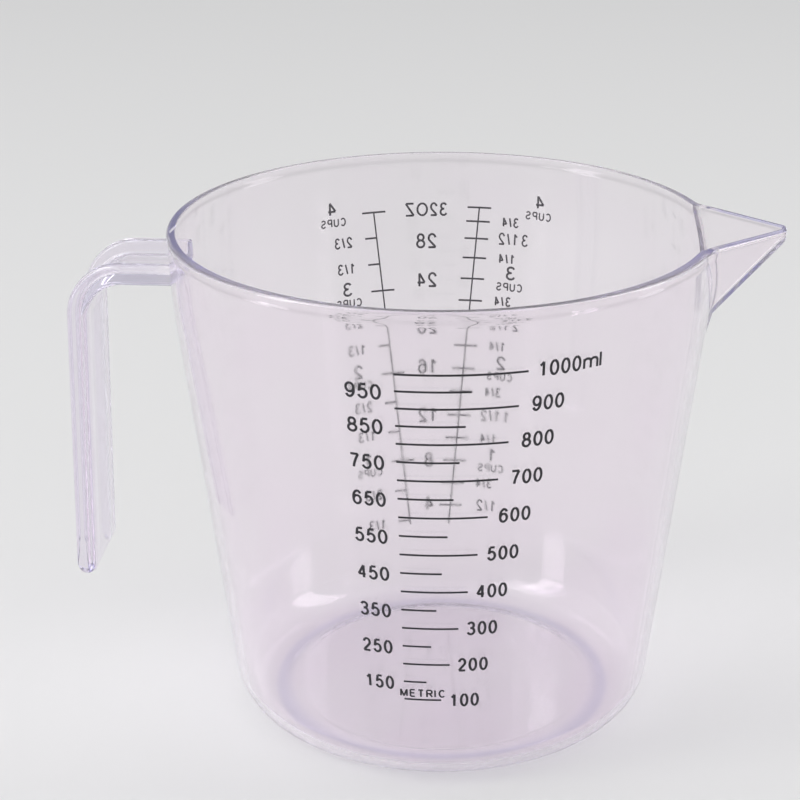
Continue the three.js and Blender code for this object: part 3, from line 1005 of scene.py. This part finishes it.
class MEASURING_CUP_OT_metric_scale(bpy.types.Operator):
    """Prints the metric lines and numbers on the front"""

    bl_idname = "measuring_cup.metric_scale"
    bl_label = "Metric scale"

    def execute(self, context):
        p = print_sizes()
        lines = Print()
        numbers = Print()
        for ml in range(100, 1001, 50):
            lines.line(METRIC_LEFT, metric_end(ml), metric_height(ml), p.line_pen)
            if ml % 100 == 0:
                self.right_number(numbers, ml)
            else:
                self.left_number(numbers, ml)
        numbers.text("METRIC", METRIC_WORD, math.radians(-90.9), 26.7 * MM)
        made = lines.piece("metric_lines")
        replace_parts(made, *[f"metric_line_{ml}" for ml in range(100, 1001, 50)])
        numbers.piece("metric_numbers")
        return {"FINISHED"}

    def style(self, ml, widening):
        """Lettering of a metric number, which widens up the scale, and how far up the scale it is."""
        p = print_sizes()
        share = (ml - 100) / 900
        width = 2 * MM + widening * share
        return Lettering(p.metric_number, p.metric_pen, width, METRIC_SPACING), share

    def right_number(self, ink, ml):
        """A number of whole hundreds to the right of its line, further off at the longer lines."""
        p = print_sizes()
        style, share = self.style(ml, 0.24 * MM)
        height = metric_height(ml)
        spread = 0.25 if ml == 1000 else eased(min(max((ml - 350) / 450, 0), 1))
        gap = p.metric_gap + (1.1 * spread - 0.4) * MM
        strokes, _ = lettered(f"{ml}ml" if ml == 1000 else str(ml), style)
        raised = (0.25 * share - 0.07) * MM
        ink.lay(strokes, style.pen, metric_end(ml) + gap / wall_radius(height), height + raised)

    def left_number(self, ink, ml):
        """A number between two hundreds to the left of its line."""
        p = print_sizes()
        style, share = self.style(ml, 0.45 * MM)
        height = metric_height(ml)
        strokes, reach = lettered(str(ml), style)
        start = METRIC_LEFT - (p.metric_gap + 0.6 * share * MM + reach) / wall_radius(height)
        lowered = (0.7 - 0.25 * share) * MM
        ink.lay(strokes, style.pen, start, height - lowered)


class MEASURING_CUP_OT_cup_scales(bpy.types.Operator):
    """Prints the two cup scales and the ounce numbers on the back"""

    bl_idname = "measuring_cup.cup_scales"
    bl_label = "Cup and ounce scales"

    def execute(self, context):
        self.thirds()
        self.quarters()
        self.ounces()
        return {"FINISHED"}

    def whole_cups(self, ink, scale, cups, outwards, raised):
        """The number of whole cups with its unit word under it."""
        height = scale.height(cups) + raised
        word_height = height - CUP_WORD_DROP
        ink.text(str(cups), CUP_NUMBER, scale.polar(height, outwards), height)
        ink.text("CUPS", CUP_WORD, scale.polar(word_height, outwards), word_height)

    def fraction(self, ink, scale, cups, text, size, outwards, lowered):
        """A fraction of a cup beside its line."""
        height = scale.height(cups) - lowered
        style = Lettering(
            size, FRACTION_PEN, FRACTION_WIDTH_RATIO * size, FRACTION_SPACING_RATIO * size
        )
        ink.text(text, style, scale.polar(height, outwards), height)

    def thirds(self):
        """The left scale, seen from the front, with its thirds of a cup."""
        scale = CupScale(-1, 3, 1 / 3, 106 * MM, 20.81 * MM, thirds_stretch)
        ink = Print()
        scale.draw(ink, True)
        for cups in range(1, 5):
            top = cups == 4
            self.whole_cups(ink, scale, cups, (11.6 if top else 9.8) * MM, (2.1 if top else 1.3) * MM)
        for cups in range(4):
            for part in (1, 2):
                self.fraction(ink, scale, cups + part / 3, f"{part}/3", 3 * MM, 9.4 * MM, 0.45 * MM)
        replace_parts(ink.piece("thirds_scale"), "cups_scale_thirds")

    def quarters(self):
        """The right scale, seen from the front, with its quarters of a cup."""
        scale = CupScale(1, 4, 1 / 2, 106.8 * MM, 24.9 * MM, quarters_stretch)
        ink = Print()
        scale.draw(ink, False)
        for cups in range(1, 5):
            top = cups == 4
            self.whole_cups(ink, scale, cups, (16.4 if top else 10.3) * MM, (2.7 if top else 2.1) * MM)
        for cups in range(4):
            for part, text in ((1, "1/4"), (3, "3/4")):
                if cups + part / 4 > scale.lowest:
                    self.fraction(ink, scale, cups + part / 4, text, 2.75 * MM, 8.8 * MM, -0.25 * MM)
            half = f"{cups} 1/2" if cups else "1/2"
            self.fraction(ink, scale, cups + 0.5, half, 3.3 * MM, 10.1 * MM, -0.35 * MM)
        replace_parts(ink.piece("quarters_scale"), "cups_scale_quarters")

    def ounces(self):
        """The ounce numbers between the two scales, with their heights in millimetres."""
        ink = Print()
        levels = ((28, 97.7), (24, 87.2), (20, 74.6), (16, 63.6), (12, 50.4), (8, 37.8), (4, 25.4))
        ink.text("32OZ", OUNCE_WORD, BACK_MIDDLE, OUNCE_TOP)
        for number, height in levels:
            ink.text(str(number), OUNCE_NUMBER, BACK_MIDDLE, height * MM)
        ink.piece("ounce_numbers")


class MEASURING_CUP_OT_stage(bpy.types.Operator):
    """Sets the pale floor, the soft lamps and the camera"""

    bl_idname = "measuring_cup.stage"
    bl_label = "Studio stage"

    def execute(self, context):
        scene = context.scene
        scene.view_settings.view_transform = "Standard"
        self.bounces(scene)
        self.floor()
        self.world(scene)
        self.softbox("overhead", (-0.1, 0.3, 2.4), (3.2, 3.2), 11)
        self.softbox("left_strip", (-1.1, -0.5, 0.6), (0.35, 1.2), 5)
        self.softbox("right_strip", (1.1, 0.1, 0.6), (0.35, 1.2), 4)
        self.softbox("key", (-1.3, -0.7, 1.5), (1.0, 1.0), 6)
        self.camera(scene)
        return {"FINISHED"}

    def bounces(self, scene):
        """Lets light run on inside the clear wall, which guides it from edge to edge."""
        scene.cycles.max_bounces = 40
        scene.cycles.transmission_bounces = 40
        scene.cycles.glossy_bounces = 40

    def floor(self):
        bm = bmesh.new()
        below = Matrix.Translation((0, 0, -0.1 * MM))
        bmesh.ops.create_grid(bm, x_segments=2, y_segments=2, size=12, matrix=below)
        mesh = bpy.data.meshes.new("floor")
        bm.to_mesh(mesh)
        bm.free()
        mesh.materials.append(floor_material())
        floor = bpy.data.objects.new("floor", mesh)
        bpy.context.scene.collection.objects.link(floor)

    def world(self, scene):
        world = bpy.data.worlds.new("studio")
        world.use_nodes = True
        sky = world.node_tree.nodes["Background"]
        sky.inputs["Color"].default_value = colours().sky
        sky.inputs["Strength"].default_value = 1.0
        scene.world = world

    def softbox(self, name, place, size, power):
        lamp = bpy.data.lights.new(name, "AREA")
        lamp.shape = "RECTANGLE"
        lamp.size, lamp.size_y = size
        lamp.energy = power
        box = bpy.data.objects.new(name, lamp)
        box.location = place
        aim = Vector((CUP_AXIS_X, 0, sizes().height / 2)) - Vector(place)
        box.rotation_euler = aim.to_track_quat("-Z", "Y").to_euler()
        bpy.context.scene.collection.objects.link(box)

    def camera(self, scene):
        data = bpy.data.cameras.new("camera")
        data.sensor_width = 36
        data.lens = 91.61
        data.shift_x = -0.05225
        camera = bpy.data.objects.new("camera", data)
        camera.location = (0.0344, -0.4559, 0.26)
        camera.rotation_euler = (math.radians(90 - 21.85), 0, math.radians(3.7))
        scene.collection.objects.link(camera)
        scene.camera = camera


class MEASURING_CUP_PT_panel(bpy.types.Panel):
    """Lists the pieces of the cup and their sizes"""

    bl_idname = "MEASURING_CUP_PT_panel"
    bl_label = "Measuring Cup"
    bl_space_type = "VIEW_3D"
    bl_region_type = "UI"
    bl_category = "Measuring Cup"

    def draw(self, context):
        layout = self.layout
        for operator in OPERATORS:
            layout.operator(operator.bl_idname)
        for group in (sizes(), print_sizes(), colours()):
            box = layout.box()
            for name in group.__annotations__:
                box.prop(group, name)


GROUPS = {
    "measuring_cup_sizes": CupSizes,
    "measuring_cup_print": PrintSizes,
    "measuring_cup_colours": CupColours,
}
OPERATORS = (
    MEASURING_CUP_OT_moulding,
    MEASURING_CUP_OT_metric_scale,
    MEASURING_CUP_OT_cup_scales,
    MEASURING_CUP_OT_stage,
)
CLASSES = (*GROUPS.values(), *OPERATORS, MEASURING_CUP_PT_panel)


def register():
    for cls in CLASSES:
        bpy.utils.register_class(cls)
    for name, group in GROUPS.items():
        setattr(bpy.types.Scene, name, PointerProperty(type=group))


def unregister():
    for name in GROUPS:
        delattr(bpy.types.Scene, name)
    for cls in reversed(CLASSES):
        bpy.utils.unregister_class(cls)


def main():
    register()
    bpy.ops.measuring_cup.moulding()
    bpy.ops.measuring_cup.metric_scale()
    bpy.ops.measuring_cup.cup_scales()
    bpy.ops.measuring_cup.stage()


if __name__ == "__main__":
    main()
